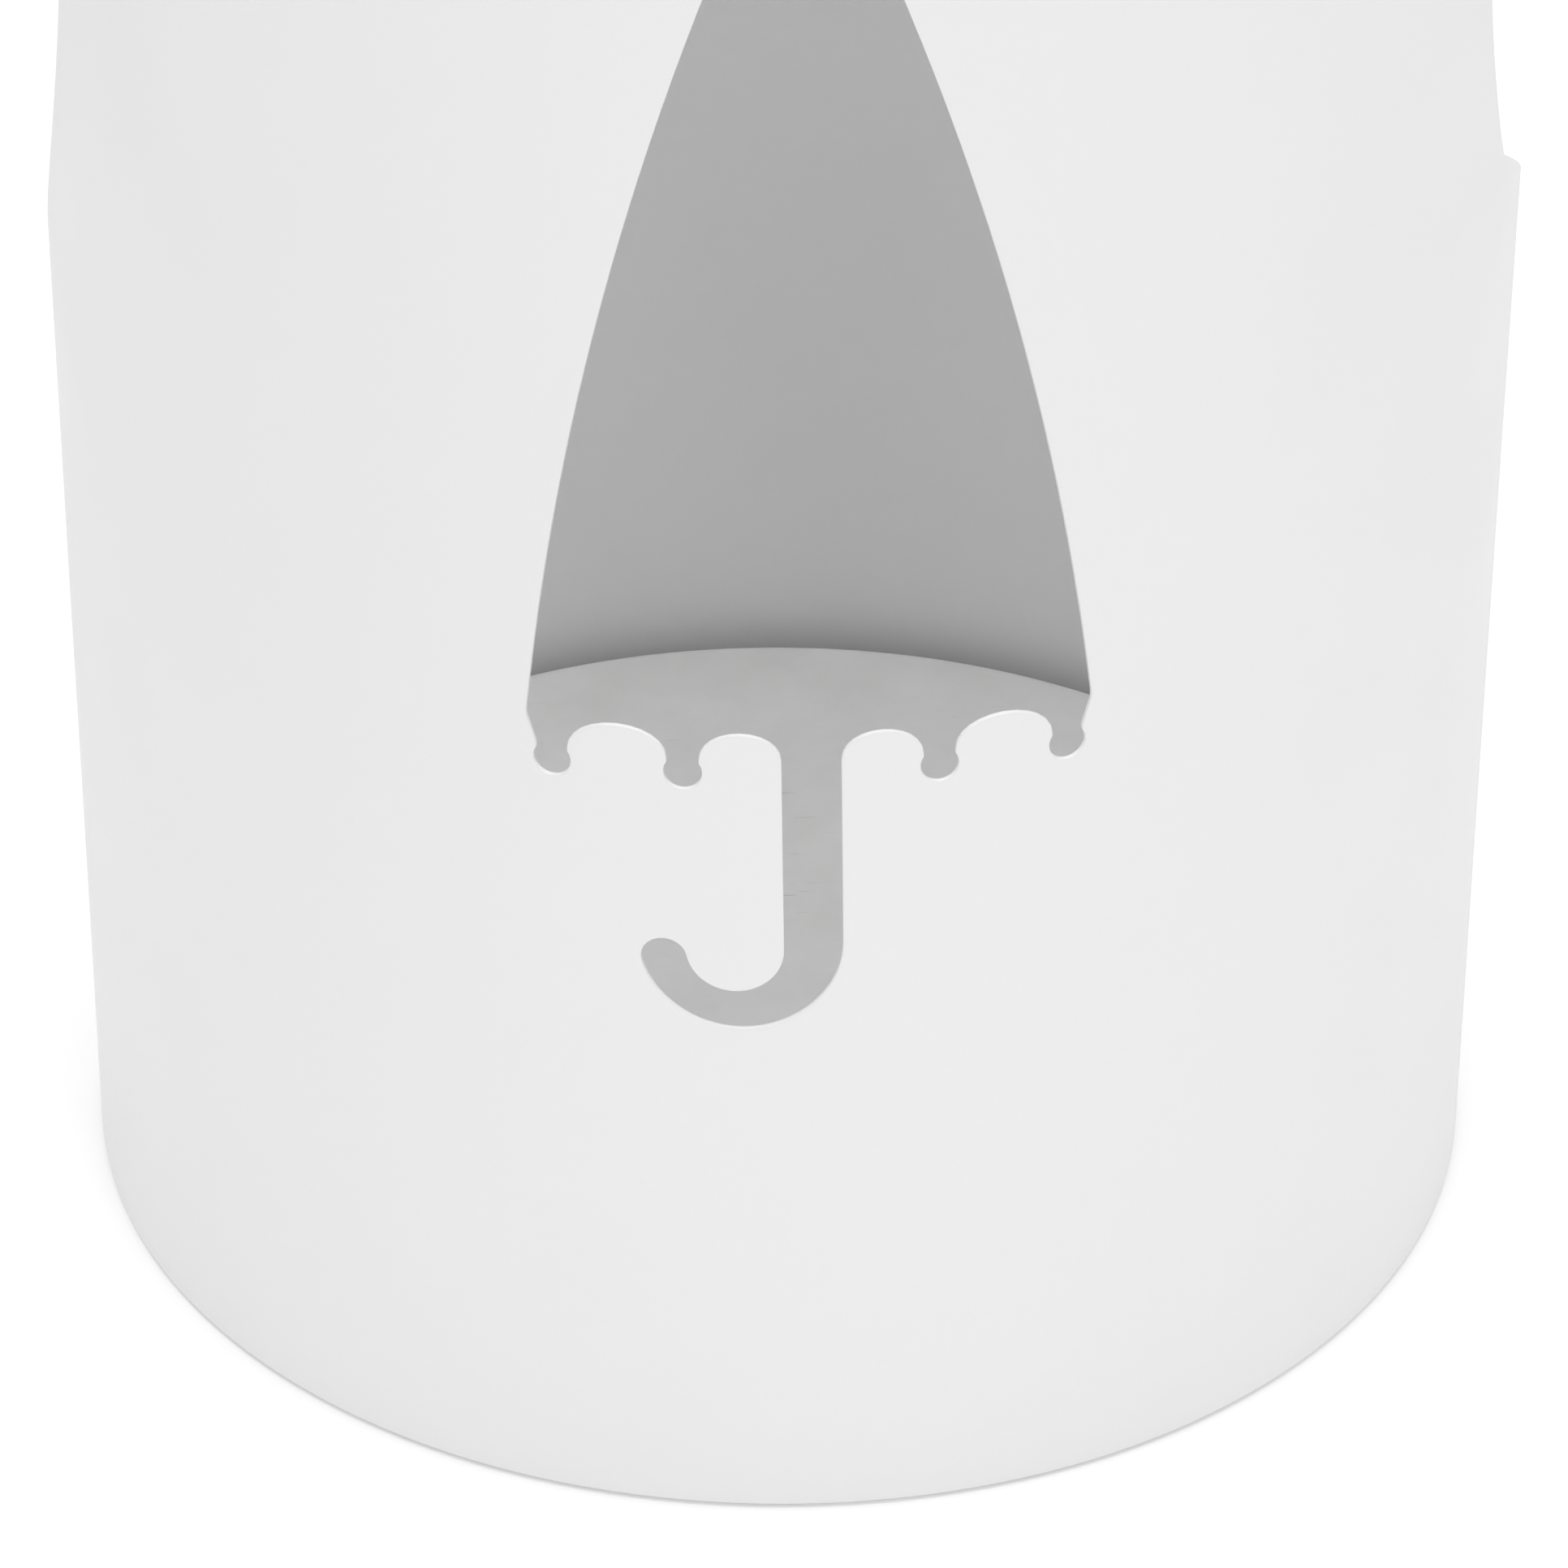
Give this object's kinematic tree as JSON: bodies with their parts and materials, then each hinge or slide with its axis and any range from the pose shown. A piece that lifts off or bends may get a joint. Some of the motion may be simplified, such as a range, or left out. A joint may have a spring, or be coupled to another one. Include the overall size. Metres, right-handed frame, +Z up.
{
  "type": "umbrella stand",
  "caption": "Round white sheet-steel umbrella stand with an umbrella-shaped front cut-out, leaf side windows and a lift-out drip plate.",
  "frame": {"origin": "on the ground under the middle of the stand", "axes": "+Z up, -Y is the front with the umbrella cut-out, +X is the right side seen from the front"},
  "size_m": [0.2462, 0.2462, 0.49],
  "materials": {
    "powder_coat": "white satin powder coat with a fine orange peel",
    "sealant": "matt white sealant",
    "grey_rubber": "matt grey rubber",
    "zinc_steel": "bright zinc plate"
  },
  "bodies": {
    "stand": {"body_shell": "powder_coat", "seam_weld": "powder_coat", "rim_bead": "powder_coat", "floor_pan": "powder_coat", "floor_welds": "powder_coat", "floor_seal": "sealant", "rubber_feet": "grey_rubber", "foot_screws": "zinc_steel", "foot_washers": "zinc_steel", "pan_washers": "zinc_steel", "foot_nuts": "zinc_steel"},
    "drip_plate": {"drip_plate": "powder_coat", "plate_edging": "grey_rubber"}
  },
  "joints": [
    {"name": "plate_lift", "type": "slide", "parent": "stand", "child": "drip_plate", "axis": [0, 0, 1], "range_m": [0, 0.49]}
  ]
}
